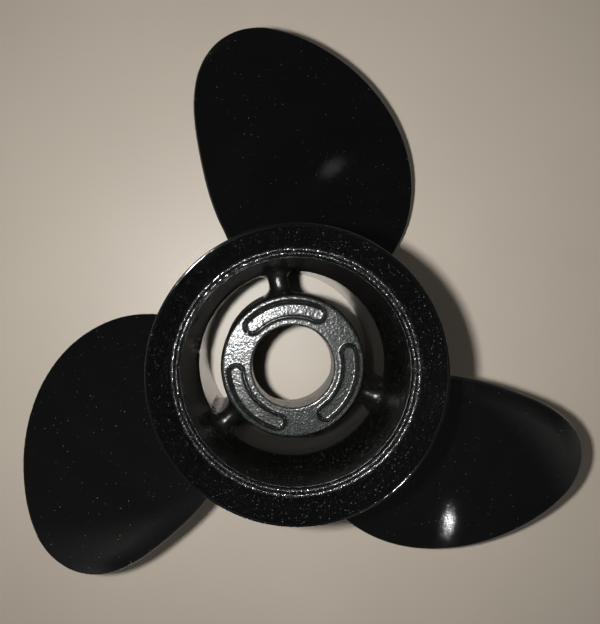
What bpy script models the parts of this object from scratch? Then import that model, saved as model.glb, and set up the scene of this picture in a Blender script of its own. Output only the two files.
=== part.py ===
"""Three-blade outboard propeller with a through-hub exhaust, cast in aluminium.

The propeller's axis is Z and its aft end is up.  Heights are measured from the forward end of
the barrel, which is where it stands; the whole propeller then hangs from one empty that puts
the balance point, on the axis, at the origin.  Angles run anticlockwise from +X, seen from aft.
The casting is modelled as its named regions, which meet face to face with a hairline gap.
"""

import math

import bmesh
import bpy
import numpy as np

# Whole propeller, in metres
TIP_RADIUS = 0.1318
PITCH = 0.330
BLADE_COUNT = 3
BALANCE_HEIGHT = 0.0493
GAP = 0.0003

# Barrel, the outer hub that the exhaust runs through
BARREL_FORWARD_RADIUS = 0.0435
BARREL_WAIST_RADIUS = 0.0442
BARREL_FORWARD_BORE_RADIUS = 0.0380
BARREL_EDGE_CHAMFER = 0.0008
THROAT_RADIUS = 0.0375
THROAT_LEDGE = 0.0005
THROAT_HEIGHT = 0.0645
SEAT_HEIGHT = 0.103
SEAT_BORE_RADIUS = 0.0404
FLARE_BELOW_SEAT = 0.017

# Diffuser ring, the flared aft end that stands on the barrel's seat
RING_LENGTH = 0.015
RIM_RADIUS = 0.0506
RIM_WALL = 0.0012
RIM_CHAMFER = 0.0005
RING_STEP = 0.0003
BAND_LENGTH = 0.003
BAND_FLARE = 0.0029

# Inner hub, the sleeve round the shaft's bore
HUB_FACE_HEIGHT = 0.075
HUB_FACE_RADIUS = 0.0283
HUB_FORWARD_HEIGHT = 0.015
HUB_FORWARD_RADIUS = 0.0303
HUB_EDGE_RADIUS = 0.0010
BORE_RADIUS = 0.0162
BORE_LENGTH = 0.016
BORE_CHAMFER = 0.0005
CAVITY_RADIUS = 0.0216

# Pads on the hub's aft face, each inside a shallow groove
PAD_MIDDLE_RADIUS = 0.0224
PAD_WIDTH = 0.0072
PAD_SPAN = math.radians(69.5)
PAD_GROOVE_WIDTH = 0.0013
PAD_GROOVE_DEPTH = 0.0006

# Ribs between the inner hub and the barrel
RIB_ANGLE = math.radians(100)
RIB_THICKNESS = 0.0074
RIB_FILLET = 0.0034
RIB_AFT_HEIGHT = 0.0725
RIB_FORWARD_HEIGHT = 0.016
RIB_NOSE_TURN = math.radians(75)

# Blades
BLADE_ANGLE = math.radians(80)
BLADE_HEIGHT = 0.0442
ROOT_THICKNESS = 0.0074
TIP_THICKNESS = 0.0026
EDGE_THICKNESS = 0.0016
ROOT_FILLET = 0.0048
CUP_HEIGHT = 0.0012
CUP_WIDTH = 0.009
TIP_TRIM = 0.00005

# A blade's outline seen along the axis, from the leading root round the tip to the trailing
# root: the control points of one smooth curve, as a share of the tip radius and in degrees
# from the blade's own angle.
BLADE_OUTLINE = (
    (0.366, -40.0),
    (0.531, -37.5),
    (0.679, -30.2),
    (0.808, -20.1),
    (0.909, -8.0),
    (0.977, 4.7),
    (1.015, 15.8),
    (0.957, 24.8),
    (0.820, 30.8),
    (0.647, 34.0),
    (0.502, 36.6),
    (0.436, 36.0),
)

# Fineness of the meshes
ROUND_STEPS = 72
FLARE_STEPS = 5
HUB_EDGE_STEPS = 3
BLADE_CHORD_STEPS = 18
BLADE_ROWS = 20
FILLET_ROWS = 3
ROOT_CAP_STEPS = 4
RIB_SIDE_STEPS = 7
RIB_END_STEPS = 3
RIB_NOSE_STEPS = 3
PAD_END_STEPS = 6
PAD_ARC_STEPS = 12


def clear_scene():
    """Remove every object, so that the file holds the propeller alone."""
    for old in list(bpy.data.objects):
        bpy.data.objects.remove(old, do_unlink=True)


def paint(name, colour, roughness):
    """Gloss black paint as a Principled material."""
    material = bpy.data.materials.new(name)
    material.use_nodes = True
    shader = material.node_tree.nodes["Principled BSDF"]
    shader.inputs["Base Color"].default_value = (*colour, 1.0)
    shader.inputs["Roughness"].default_value = roughness
    shader.inputs["Metallic"].default_value = 0.0
    return material


def add_object(name, mesh, collection, material, parent):
    """Put a mesh into the scene as one named part of the propeller."""
    part = bpy.data.objects.new(name, mesh)
    collection.objects.link(part)
    part.data.materials.append(material)
    part.parent = parent
    return part


def shade(mesh, angle=math.radians(35)):
    """Smooth shading that keeps the edges sharper than the angle."""
    mesh.shade_smooth()
    mesh.set_sharp_from_angle(angle=angle)


def between(height, low, high):
    """The radius at a height on the straight line between two (radius, height) points."""
    share = (height - low[1]) / (high[1] - low[1])
    return low[0] + share * (high[0] - low[0])


def barrel_outer_radius(height):
    """The barrel's outer wall, from its forward end to where the flare starts."""
    forward = (BARREL_FORWARD_RADIUS, 0.0)
    return between(height, forward, (BARREL_WAIST_RADIUS, SEAT_HEIGHT - FLARE_BELOW_SEAT))


def barrel_bore_radius(height):
    """The barrel's inner wall, which narrows to the throat from both ends."""
    if height < THROAT_HEIGHT:
        return between(height, (BARREL_FORWARD_BORE_RADIUS, 0.0), (THROAT_RADIUS, THROAT_HEIGHT))
    throat = (THROAT_RADIUS, THROAT_HEIGHT)
    return between(height, throat, (SEAT_BORE_RADIUS, SEAT_HEIGHT))


def hub_radius(height):
    """The inner hub's outer wall, which drafts outwards towards its forward end."""
    forward = (HUB_FORWARD_RADIUS, HUB_FORWARD_HEIGHT)
    return between(height, forward, (HUB_FACE_RADIUS, HUB_FACE_HEIGHT))


def flare_radius(height):
    """The outer wall aft of the waist, a curve that leaves it smoothly and ends at the rim."""
    start = SEAT_HEIGHT - FLARE_BELOW_SEAT
    share = (height - start) / (FLARE_BELOW_SEAT + RING_LENGTH)
    return BARREL_WAIST_RADIUS + (RIM_RADIUS - BARREL_WAIST_RADIUS) * share**2


def flare_profile(top, bottom):
    """Points of the flared outer wall from the top down."""
    heights = [top + (bottom - top) * step / FLARE_STEPS for step in range(FLARE_STEPS + 1)]
    return [(flare_radius(height), height) for height in heights]


def turned(name, profile, collection, material, parent):
    """A ring turned from a closed profile that runs down its outer side and up its bore."""
    mesh = bpy.data.meshes.new(name)
    count = len(profile)
    corners = [(radius, 0.0, height) for radius, height in profile]
    mesh.from_pydata(corners, [(i, (i + 1) % count) for i in range(count)], [])
    part = add_object(name, mesh, collection, material, parent)
    screw = part.modifiers.new("Turn", "SCREW")
    screw.axis = "Z"
    screw.angle = math.tau
    screw.steps = ROUND_STEPS
    screw.render_steps = ROUND_STEPS
    screw.use_merge_vertices = True
    screw.merge_threshold = 0.00001
    screw.use_smooth_shade = True
    return part


def make_barrel(collection, material, parent):
    """The outer hub: a tapered tube with a small ledge at its throat."""
    outer = flare_profile(SEAT_HEIGHT - GAP, SEAT_HEIGHT - FLARE_BELOW_SEAT)
    profile = outer + [
        (BARREL_FORWARD_RADIUS, BARREL_EDGE_CHAMFER),
        (BARREL_FORWARD_RADIUS - BARREL_EDGE_CHAMFER, 0.0),
        (BARREL_FORWARD_BORE_RADIUS, 0.0),
        (THROAT_RADIUS + THROAT_LEDGE, THROAT_HEIGHT - THROAT_LEDGE),
        (THROAT_RADIUS, THROAT_HEIGHT),
        (barrel_bore_radius(SEAT_HEIGHT - GAP), SEAT_HEIGHT - GAP),
    ]
    return turned("barrel", profile, collection, material, parent)


def make_diffuser_ring(collection, material, parent):
    """The flared aft end: a step, a tooled band and a smooth cone inside, a thin rim on top."""
    rim_height = SEAT_HEIGHT + RING_LENGTH
    step_radius = SEAT_BORE_RADIUS + RING_STEP
    profile = [(flare_radius(rim_height) - RIM_CHAMFER, rim_height)]
    profile += flare_profile(rim_height - RIM_CHAMFER, SEAT_HEIGHT)
    profile += [
        (step_radius, SEAT_HEIGHT),
        (step_radius + BAND_FLARE, SEAT_HEIGHT + BAND_LENGTH),
        (RIM_RADIUS - RIM_WALL, rim_height),
    ]
    return turned("diffuser_ring", profile, collection, material, parent)


def make_inner_hub(collection, material, parent):
    """The sleeve, with a rounded aft edge, the bore aft and the wider hub-kit cavity forward."""
    edge = []
    centre_height = HUB_FACE_HEIGHT - HUB_EDGE_RADIUS
    centre_radius = HUB_FACE_RADIUS - HUB_EDGE_RADIUS
    for step in range(HUB_EDGE_STEPS + 1):
        turn = math.pi / 2 * (1 - step / HUB_EDGE_STEPS)
        radius = centre_radius + HUB_EDGE_RADIUS * math.cos(turn)
        edge.append((radius, centre_height + HUB_EDGE_RADIUS * math.sin(turn)))
    shoulder = HUB_FACE_HEIGHT - BORE_LENGTH
    profile = edge + [
        (HUB_FORWARD_RADIUS, HUB_FORWARD_HEIGHT),
        (CAVITY_RADIUS + BORE_CHAMFER, HUB_FORWARD_HEIGHT),
        (CAVITY_RADIUS, HUB_FORWARD_HEIGHT + BORE_CHAMFER),
        (CAVITY_RADIUS, shoulder),
        (BORE_RADIUS, shoulder),
        (BORE_RADIUS, HUB_FACE_HEIGHT - BORE_CHAMFER),
        (BORE_RADIUS + BORE_CHAMFER, HUB_FACE_HEIGHT),
    ]
    return turned("inner_hub", profile, collection, material, parent)


def slot_outline(half_width):
    """A slot bent round the axis at the pads' middle radius, with round ends."""
    points = []
    half_span = PAD_SPAN / 2
    for side in (1, -1):
        for step in range(PAD_ARC_STEPS):
            angle = side * half_span * (2 * step / PAD_ARC_STEPS - 1)
            radius = PAD_MIDDLE_RADIUS + side * half_width
            points.append((radius * math.cos(angle), radius * math.sin(angle)))
        end = side * half_span
        middle = (PAD_MIDDLE_RADIUS * math.cos(end), PAD_MIDDLE_RADIUS * math.sin(end))
        for step in range(PAD_END_STEPS):
            angle = end + math.pi * (step / PAD_END_STEPS + (0 if side > 0 else 1))
            x = middle[0] + half_width * math.cos(angle)
            points.append((x, middle[1] + half_width * math.sin(angle)))
    return points


def make_groove_cutter(index, collection, parent):
    """A bent ring as deep as twice the groove, centred on the hub's aft face."""
    outline = bpy.data.curves.new("groove_outline", "CURVE")
    outline.dimensions = "2D"
    outline.fill_mode = "BOTH"
    outline.extrude = PAD_GROOVE_DEPTH
    for half_width in (PAD_WIDTH / 2, PAD_WIDTH / 2 - PAD_GROOVE_WIDTH):
        points = slot_outline(half_width)
        spline = outline.splines.new("POLY")
        spline.points.add(len(points) - 1)
        for point, (x, y) in zip(spline.points, points):
            point.co = (x, y, 0.0, 1.0)
        spline.use_cyclic_u = True
    drawn = bpy.data.objects.new("groove_drawn", outline)
    collection.objects.link(drawn)
    bpy.context.view_layer.update()
    flat = drawn.evaluated_get(bpy.context.evaluated_depsgraph_get())
    mesh = bpy.data.meshes.new_from_object(flat)
    bpy.data.objects.remove(drawn, do_unlink=True)
    shell = bmesh.new()
    shell.from_mesh(mesh)
    bmesh.ops.remove_doubles(shell, verts=shell.verts, dist=0.00001)
    bmesh.ops.recalc_face_normals(shell, faces=shell.faces)
    shell.to_mesh(mesh)
    shell.free()
    cutter = bpy.data.objects.new(f"groove_cutter_{index + 1}", mesh)
    collection.objects.link(cutter)
    cutter.parent = parent
    cutter.location = (0.0, 0.0, HUB_FACE_HEIGHT)
    cutter.rotation_euler = (0.0, 0.0, RIB_ANGLE + math.tau * index / BLADE_COUNT)
    cutter.hide_render = True
    cutter.display_type = "WIRE"
    return cutter


def cut_grooves(hub, cutters, parent):
    """Cut the three pads' grooves into the hub's aft face."""
    for index in range(BLADE_COUNT):
        cut = hub.modifiers.new(f"Groove {index + 1}", "BOOLEAN")
        cut.operation = "DIFFERENCE"
        cut.solver = "EXACT"
        cut.object = make_groove_cutter(index, cutters, parent)


def loft(name, rings, first_cap=(), last_cap=()):
    """A closed body through rings of equal length, whose ends may have rows of cap points."""
    shell = bmesh.new()
    rows = [[shell.verts.new(point) for point in ring] for ring in rings]
    count = len(rows[0])
    for low, high in zip(rows, rows[1:]):
        for i in range(count):
            j = (i + 1) % count
            shell.faces.new((low[i], low[j], high[j], high[i]))
    close_end(shell, rows[0], first_cap)
    close_end(shell, rows[-1], last_cap)
    bmesh.ops.recalc_face_normals(shell, faces=shell.faces)
    mesh = bpy.data.meshes.new(name)
    shell.to_mesh(mesh)
    shell.free()
    shade(mesh)
    return mesh


def close_end(shell, ring, cap):
    """Close a ring whose two sides face each other, straight across or by the cap's points.

    The ring runs along one side and back along the other.  A cap holds, for each pair of
    facing points but the two ends, the points between them.
    """
    half = len(ring) // 2
    lines = [[ring[0]]]
    for i in range(1, half):
        inner = [shell.verts.new(point) for point in cap[i - 1]] if cap else []
        lines.append([ring[i], *inner, ring[-i]])
    lines.append([ring[half]])
    for near, far in zip(lines, lines[1:]):
        if len(near) == 1:
            near = near * len(far)
        if len(far) == 1:
            far = far * len(near)
        for i in range(len(near) - 1):
            corners = [near[i], near[i + 1], far[i + 1], far[i]]
            shell.faces.new(list(dict.fromkeys(corners)))


def fillet_reach(distance, radius):
    """How far a fillet still stands out, at a distance from the surface it springs from."""
    if distance >= radius:
        return 0.0
    return radius - math.sqrt(radius**2 - (radius - max(distance, 0.0)) ** 2)


def outline_curve(samples=240):
    """The blade's outline as radii and angles, with its highest point at the tip radius."""
    control = np.array(BLADE_OUTLINE)
    last = len(control) - 1
    knots = np.concatenate(([0.0] * 3, np.arange(last - 1), [last - 2.0] * 3))
    places = np.linspace(0.0, last - 2.0 - 1e-9, samples)
    weights = [((places >= a) & (places < b)) * 1.0 for a, b in zip(knots, knots[1:])]
    for degree in (1, 2, 3):
        raised = []
        for i in range(len(weights) - 1):
            rise = knots[i + degree] - knots[i]
            fall = knots[i + degree + 1] - knots[i + 1]
            value = np.zeros(samples)
            if rise > 0:
                value += (places - knots[i]) / rise * weights[i]
            if fall > 0:
                value += (knots[i + degree + 1] - places) / fall * weights[i + 1]
            raised.append(value)
        weights = raised
    curve = np.array(weights).T @ control
    radii = curve[:, 0] / curve[:, 0].max() * TIP_RADIUS
    return radii, BLADE_ANGLE + np.radians(curve[:, 1])


def helix_height(angle):
    """The height of the blades' driving face, which has one pitch all over."""
    return BLADE_HEIGHT + PITCH / math.tau * (angle - BLADE_ANGLE)


def blade_rows():
    """The radii of a blade's sections, closer together in the root fillet and at the tip."""
    root = barrel_outer_radius(BLADE_HEIGHT) + GAP
    turns = [math.pi / 2 * (i / FILLET_ROWS) for i in range(FILLET_ROWS)]
    fillet = [root + ROOT_FILLET * (1 - math.cos(turn)) for turn in turns]
    start = root + ROOT_FILLET
    reach = TIP_RADIUS - TIP_TRIM - start
    steps = [math.sin(math.pi / 2 * i / BLADE_ROWS) for i in range(BLADE_ROWS + 1)]
    return root, fillet + [start + reach * step for step in steps]


def blade_section(radius, root, outline):
    """One section unrolled from its cylinder: (arc length, height) points round both faces."""
    radii, angles = outline
    tip = int(radii.argmax())
    lead = np.interp(radius, radii[: tip + 1], angles[: tip + 1])
    trail = np.interp(-radius, -radii[tip:], angles[tip:])
    edge = np.stack((radii * np.cos(angles), radii * np.sin(angles), helix_height(angles)), axis=1)
    share = 0.5 - 0.5 * np.cos(np.linspace(0.0, math.pi, BLADE_CHORD_STEPS + 1))
    theta = lead + (trail - lead) * share
    face = np.stack((radius * np.cos(theta), radius * np.sin(theta), helix_height(theta)), axis=1)
    to_edge = np.linalg.norm(face[:, None] - edge[None], axis=2).min(axis=1)
    to_edge[[0, -1]] = 0.0

    out = (radius - root) / (TIP_RADIUS - root)
    deepest = ROOT_THICKNESS + (TIP_THICKNESS - ROOT_THICKNESS) * out
    thickness = EDGE_THICKNESS + (deepest - EDGE_THICKNESS) * 4 * share * (1 - share)
    nearness = 1 - np.minimum(to_edge / (EDGE_THICKNESS / 2), 1.0)
    roundness = np.sqrt(1 - nearness**2)
    from_trail = radius * (trail - theta) / math.cos(math.atan(PITCH / (math.tau * radius)))
    cup = CUP_HEIGHT * np.clip(1 - from_trail / CUP_WIDTH, 0.0, 1.0) ** 2

    slope = math.atan(PITCH / (math.tau * radius))
    normal = np.array((-math.sin(slope), math.cos(slope)))
    line = np.stack((radius * theta, helix_height(theta)), axis=1)
    middle = line + normal * (cup - thickness / 2)[:, None]
    half = (thickness / 2 * roundness)[:, None] * normal
    ring = np.concatenate((middle[:1], (middle + half)[1:-1], middle[-1:], (middle - half)[-2:0:-1]))

    ahead = np.roll(ring, -1, axis=0) - np.roll(ring, 1, axis=0)
    outward = np.stack((-ahead[:, 1], ahead[:, 0]), axis=1)
    outward /= np.linalg.norm(outward, axis=1)[:, None]
    return ring + outward * fillet_reach(radius - root, ROOT_FILLET)


def wrap(section, radius):
    """Roll an unrolled section back round the axis."""
    turn = section[:, 0] / radius
    return np.stack((radius * np.cos(turn), radius * np.sin(turn), section[:, 1]), axis=1)


def seat_on_barrel(points):
    """Move points radially to the barrel's outer wall, a hairline clear of it."""
    seated = []
    for x, y, z in points:
        scale = (barrel_outer_radius(z) + GAP) / math.hypot(x, y)
        seated.append((x * scale, y * scale, z))
    return seated


def blade_mesh():
    """A blade as a loft through its sections, with a fillet that flares at the barrel."""
    outline = outline_curve()
    root, rows = blade_rows()
    sections = [blade_section(radius, root, outline) for radius in rows]
    rings = [wrap(section, radius) for section, radius in zip(sections, rows)]
    rings[0] = seat_on_barrel(rings[0])
    foot = sections[0]
    half = len(foot) // 2
    cap = []
    for i in range(1, half):
        shares = [step / ROOT_CAP_STEPS for step in range(1, ROOT_CAP_STEPS)]
        line = np.array([foot[i] + (foot[-i] - foot[i]) * share for share in shares])
        cap.append(seat_on_barrel(wrap(line, rows[0])))
    return loft("blade", rings, first_cap=cap)


def make_blades(collection, material, parent):
    """Three like blades, each turned to its place round the barrel."""
    mesh = blade_mesh()
    for index in range(BLADE_COUNT):
        blade = add_object(f"blade_{index + 1}", mesh, collection, material, parent)
        blade.rotation_euler = (0.0, 0.0, math.tau * index / BLADE_COUNT)


def rib_ring(height, slimness):
    """A rib's outline at one height: out along one side and back along the other."""
    inner = hub_radius(height) + GAP
    outer = barrel_bore_radius(height) - GAP
    radii, reaches = [], []
    for step in range(RIB_SIDE_STEPS + 1):
        radius = inner + (outer - inner) * (0.5 - 0.5 * math.cos(math.pi * step / RIB_SIDE_STEPS))
        flare = fillet_reach(radius - inner, RIB_FILLET) + fillet_reach(outer - radius, RIB_FILLET)
        radii.append(radius)
        reaches.append((RIB_THICKNESS / 2 + flare) * slimness)
    side = [(radius, reach / radius) for radius, reach in zip(radii, reaches)]
    inner_turn, outer_turn = side[0][1], side[-1][1]
    shares = [step / RIB_END_STEPS for step in range(1, RIB_END_STEPS)]
    outline = [(inner, inner_turn * share) for share in [0.0, *shares]]
    outline += side
    outline += [(outer, outer_turn * share) for share in [*shares[::-1], 0.0]]
    outline += [(radius, -turn) for radius, turn in outline[-2:0:-1]]
    return [(r * math.cos(turn), r * math.sin(turn), height) for r, turn in outline]


def rib_mesh():
    """A rib that follows the hub's and the barrel's drafts, with a rounded aft edge."""
    heights = [RIB_FORWARD_HEIGHT, THROAT_HEIGHT]
    slimness = [1.0, 1.0]
    nose = RIB_THICKNESS / 2
    for step in range(RIB_NOSE_STEPS + 1):
        turn = RIB_NOSE_TURN * step / RIB_NOSE_STEPS
        heights.append(RIB_AFT_HEIGHT - nose + nose * math.sin(turn))
        slimness.append(math.cos(turn))
    return loft("rib", [rib_ring(height, slim) for height, slim in zip(heights, slimness)])


def make_ribs(collection, material, parent):
    """Three like ribs, each turned to its place round the inner hub."""
    mesh = rib_mesh()
    for index in range(BLADE_COUNT):
        rib = add_object(f"rib_{index + 1}", mesh, collection, material, parent)
        rib.rotation_euler = (0.0, 0.0, RIB_ANGLE + math.tau * index / BLADE_COUNT)


def main():
    """Build the propeller with its balance point at the origin."""
    clear_scene()
    propeller = bpy.data.collections.new("propeller")
    cutters = bpy.data.collections.new("cutters")
    for collection in (propeller, cutters):
        bpy.context.scene.collection.children.link(collection)
    datum = bpy.data.objects.new("barrel_forward_end", None)
    propeller.objects.link(datum)
    datum.location = (0.0, 0.0, -BALANCE_HEIGHT)

    gloss_black = paint("gloss_black_paint", (0.006, 0.006, 0.007), 0.12)
    cast_black = paint("painted_rough_casting", (0.012, 0.012, 0.013), 0.32)
    bore_black = paint("painted_core_wall", (0.010, 0.010, 0.011), 0.22)

    make_barrel(propeller, bore_black, datum)
    make_diffuser_ring(propeller, gloss_black, datum)
    hub = make_inner_hub(propeller, cast_black, datum)
    cut_grooves(hub, cutters, datum)
    make_ribs(propeller, bore_black, datum)
    make_blades(propeller, gloss_black, datum)


main()
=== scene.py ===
"""Three-blade outboard propeller in gloss black paint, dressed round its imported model.

The propeller's axis is Z and its aft end is up.  Heights are measured from the forward end of
the barrel, which stands on the floor, and angles run anticlockwise from +X, seen from aft.  All
sizes are in metres and all angles in degrees, unless a name says otherwise.
"""

import logging
import math
from dataclasses import dataclass
from enum import Enum
from typing import Callable

import bpy
import numpy as np
from mathutils import Matrix, Vector, noise


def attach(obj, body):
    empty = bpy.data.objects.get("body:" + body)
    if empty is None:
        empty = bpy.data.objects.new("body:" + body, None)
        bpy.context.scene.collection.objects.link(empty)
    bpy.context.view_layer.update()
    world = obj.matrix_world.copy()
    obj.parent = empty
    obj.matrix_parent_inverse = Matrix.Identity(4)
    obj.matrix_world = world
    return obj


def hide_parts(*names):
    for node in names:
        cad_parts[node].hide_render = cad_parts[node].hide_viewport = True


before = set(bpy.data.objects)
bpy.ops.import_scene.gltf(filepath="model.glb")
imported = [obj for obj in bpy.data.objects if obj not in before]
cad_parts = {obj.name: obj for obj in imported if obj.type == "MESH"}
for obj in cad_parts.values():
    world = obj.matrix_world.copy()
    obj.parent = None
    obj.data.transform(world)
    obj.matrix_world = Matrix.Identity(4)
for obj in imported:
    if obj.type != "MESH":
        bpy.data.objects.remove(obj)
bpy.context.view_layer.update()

LOG = logging.getLogger("propeller")

BALANCE_HEIGHT = 0.0493
BLADE_COUNT = 3
MERGE = 0.000001

Points = list[tuple[float, float]]
Marks = tuple[tuple[float, float, float], ...]
Rows = np.ndarray


def clamp(value: Rows | float) -> Rows | float:
    """Hold a value between 0 and 1."""
    return np.clip(value, 0.0, 1.0)


def ease(value: Rows | float) -> Rows | float:
    """Go from 0 to 1 with a soft start and a soft end."""
    held = clamp(value)
    return held * held * (3.0 - 2.0 * held)


def bell(offset: Rows | float, width: float) -> Rows | float:
    """A smooth bump that is 1 at no offset and fades over the width."""
    return np.exp(-((offset / width) ** 2))


def between(height: Rows | float, low: tuple, high: tuple) -> Rows | float:
    """The radius at a height on the straight line between two (radius, height) points."""
    share = (height - low[1]) / (high[1] - low[1])
    return low[0] + share * (high[0] - low[0])


def fillet_reach(distance: Rows | float, radius: float) -> Rows | float:
    """How far a fillet still stands out, at a distance from the surface that it springs from.

    Args:
        distance: distance from the surface, below nothing where the point is sunk into it.
        radius: the fillet's radius.

    Returns:
        The fillet's reach, which goes on growing under the surface so that its foot is sunk.
    """
    held = np.clip(distance, 0.0, radius)
    sunk = np.clip(-np.asarray(distance), 0.0, None)
    return radius - np.sqrt(radius**2 - (radius - held) ** 2) + sunk


def arc(centre: tuple, radius: float, first: float, last: float, steps: int) -> Points:
    """Points along an arc of a profile.

    Args:
        centre: the arc's centre as (radius, height).
        radius: the arc's radius.
        first: the angle at which it starts, from the outward direction.
        last: the angle at which it ends.
        steps: how many steps it is drawn in.

    Returns:
        The points as (radius, height).
    """
    turns = np.radians(np.linspace(first, last, steps + 1))
    return [(centre[0] + radius * math.cos(t), centre[1] + radius * math.sin(t)) for t in turns]


def line(start: tuple, end: tuple, steps: int) -> Points:
    """Points along a straight run of a profile, without its last one."""
    shares = np.arange(steps) / steps
    return [(start[0] + (end[0] - start[0]) * s, start[1] + (end[1] - start[1]) * s) for s in shares]


def read_points(piece: bpy.types.Object) -> Rows:
    """All the vertices of a piece, as an array of x, y and z."""
    flat = np.zeros(len(piece.data.vertices) * 3)
    piece.data.vertices.foreach_get("co", flat)
    return flat.reshape(-1, 3)


def write_points(piece: bpy.types.Object, points: Rows) -> None:
    """Put the vertices of a piece at new places."""
    piece.data.vertices.foreach_set("co", np.asarray(points).ravel())
    piece.data.update()


def select_only(piece: bpy.types.Object) -> None:
    """Select one piece and make it the active one."""
    bpy.ops.object.select_all(action="DESELECT")
    piece.select_set(True)
    bpy.context.view_layer.objects.active = piece


def close_up(piece: bpy.types.Object) -> None:
    """Merge the doubled points of a piece's seams and turn its faces outwards."""
    select_only(piece)
    bpy.ops.object.mode_set(mode="EDIT")
    bpy.ops.mesh.select_all(action="SELECT")
    bpy.ops.mesh.remove_doubles(threshold=MERGE)
    bpy.ops.mesh.normals_make_consistent(inside=False)
    bpy.ops.object.mode_set(mode="OBJECT")


def smooth(piece: bpy.types.Object, angle: float = 32.0) -> None:
    """Shade a piece smooth, but for the edges that are sharper than the angle."""
    select_only(piece)
    bpy.ops.object.shade_smooth_by_angle(angle=math.radians(angle))


def turned(name: str, profile: Points, steps: int) -> bpy.types.Object:
    """A ring turned from a closed profile, as on a lathe.

    Args:
        name: the piece's name.
        profile: the closed profile as (radius, height) points.
        steps: how many steps the full turn is made in.

    Returns:
        The piece, closed and with its faces outwards.
    """
    bpy.ops.object.select_all(action="DESELECT")
    bpy.ops.mesh.primitive_circle_add(vertices=len(profile), fill_type="NOTHING")
    piece = bpy.context.active_object
    piece.name = name
    piece.data.name = name
    write_points(piece, [(radius, 0.0, height - BALANCE_HEIGHT) for radius, height in profile])
    bpy.ops.object.mode_set(mode="EDIT")
    bpy.ops.mesh.select_all(action="SELECT")
    bpy.ops.mesh.spin(steps=steps, angle=math.tau, center=(0.0, 0.0, 0.0), axis=(0.0, 0.0, 1.0))
    bpy.ops.object.mode_set(mode="OBJECT")
    close_up(piece)
    return piece


def sleeve(name: str, rings: Rows) -> bpy.types.Object:
    """A closed body whose skin is a grid wrapped round its rings.

    Args:
        name: the piece's name.
        rings: an array of rings by points by x, y and z, whose end rings are folded flat.

    Returns:
        The piece, closed and with its faces outwards.
    """
    rows, columns = rings.shape[:2]
    wrapped = np.concatenate((rings, rings[:, :1]), axis=1)
    bpy.ops.object.select_all(action="DESELECT")
    bpy.ops.mesh.primitive_grid_add(x_subdivisions=columns, y_subdivisions=rows - 1, size=2.0)
    piece = bpy.context.active_object
    piece.name = name
    piece.data.name = name
    lattice = read_points(piece)
    column = np.rint((lattice[:, 0] + 1.0) / 2.0 * columns).astype(int)
    row = np.rint((lattice[:, 1] + 1.0) / 2.0 * (rows - 1)).astype(int)
    write_points(piece, wrapped[row, column] - np.array((0.0, 0.0, BALANCE_HEIGHT)))
    close_up(piece)
    return piece


def copies_round(piece: bpy.types.Object, names: list[str]) -> list[bpy.types.Object]:
    """Copy a piece to equal places round the axis, each copy with its own mesh.

    Args:
        piece: the first piece, which stays where it is.
        names: the copies' names.

    Returns:
        The first piece and its copies.
    """
    found = [piece]
    for index, name in enumerate(names, start=1):
        select_only(piece)
        bpy.ops.object.duplicate(linked=False)
        copy = bpy.context.active_object
        copy.name = name
        copy.data.name = name
        copy.rotation_euler = (0.0, 0.0, math.tau * index / (len(names) + 1))
        bpy.ops.object.transform_apply(location=False, rotation=True, scale=False)
        found.append(copy)
    return found


def roughen(points: Rows, size: float, depth: float, seed: float) -> Rows:
    """Uneven displacement for a cast surface.

    Args:
        points: the places to displace.
        size: the size of the unevenness.
        depth: how far it goes either way.
        seed: moves the pattern, so that no two places are alike.

    Returns:
        One displacement for each point.
    """
    shift = Vector((seed, seed * 0.7, -seed))
    return np.array([noise.noise(Vector(p) / size + shift) * depth for p in points])


def drawn_grain(points: Rows, size: float, depth: float, seed: float, stretch: float) -> Rows:
    """Unevenness whose grains are drawn out round the axis, as a blunt tool leaves them.

    Args:
        points: the places to displace.
        size: how wide a grain is.
        depth: how far it goes either way.
        seed: moves the pattern.
        stretch: how many times longer than wide a grain is.

    Returns:
        One displacement for each point.
    """
    radius = np.hypot(points[:, 0], points[:, 1])
    around = points[:, :2] / radius[:, None] * (radius.mean() / stretch)
    return roughen(np.column_stack((around, radius + points[:, 2])), size, depth, seed)


def polar(points: Rows) -> tuple[Rows, Rows, Rows]:
    """Where points lie round the axis.

    Args:
        points: the places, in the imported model's frame.

    Returns:
        Their radii, their angles and their heights.
    """
    radius = np.hypot(points[:, 0], points[:, 1])
    turn = np.degrees(np.arctan2(points[:, 1], points[:, 0])) % 360.0
    return radius, turn, points[:, 2] + BALANCE_HEIGHT


def depth_of(marks: Marks, turn: Rows) -> Rows:
    """The depth of single marks at each angle, from their (angle, width, depth)."""
    return sum(bell(turn - angle, width) * depth for angle, width, depth in marks)


def push_out(points: Rows, radius: Rows, wave: Rows) -> None:
    """Move points away from the axis by the wave."""
    points[:, :2] *= ((radius + wave) / radius)[:, None]


class Slot(Enum):
    """The record's material slots."""

    GLOSS = "gloss_black_paint"
    CAST = "painted_rough_casting"
    CORE = "painted_core_wall"


class Finish(Enum):
    """The paints as they look on the propeller's own surfaces."""

    BLADE = "blade_gloss"
    FLARE = "flare_gloss"
    # The tooled band's grain crests carry painted glints.
    BAND = "worn_band"
    FACE = "rough_face"
    CORE = "core_wall"
    DULL = "dull_core_wall"
    # A pale coat painted on the forward bore as the floor's reflection.
    FILM = "exhaust_film"


Finishes = dict[Finish, bpy.types.Material]


def lay_paints(piece: bpy.types.Object, finishes: Finishes, coats: tuple[Finish, ...]) -> None:
    """Give a piece its paints, the first of which covers it all until its faces say otherwise."""
    for coat in coats:
        piece.data.materials.append(finishes[coat])


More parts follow.
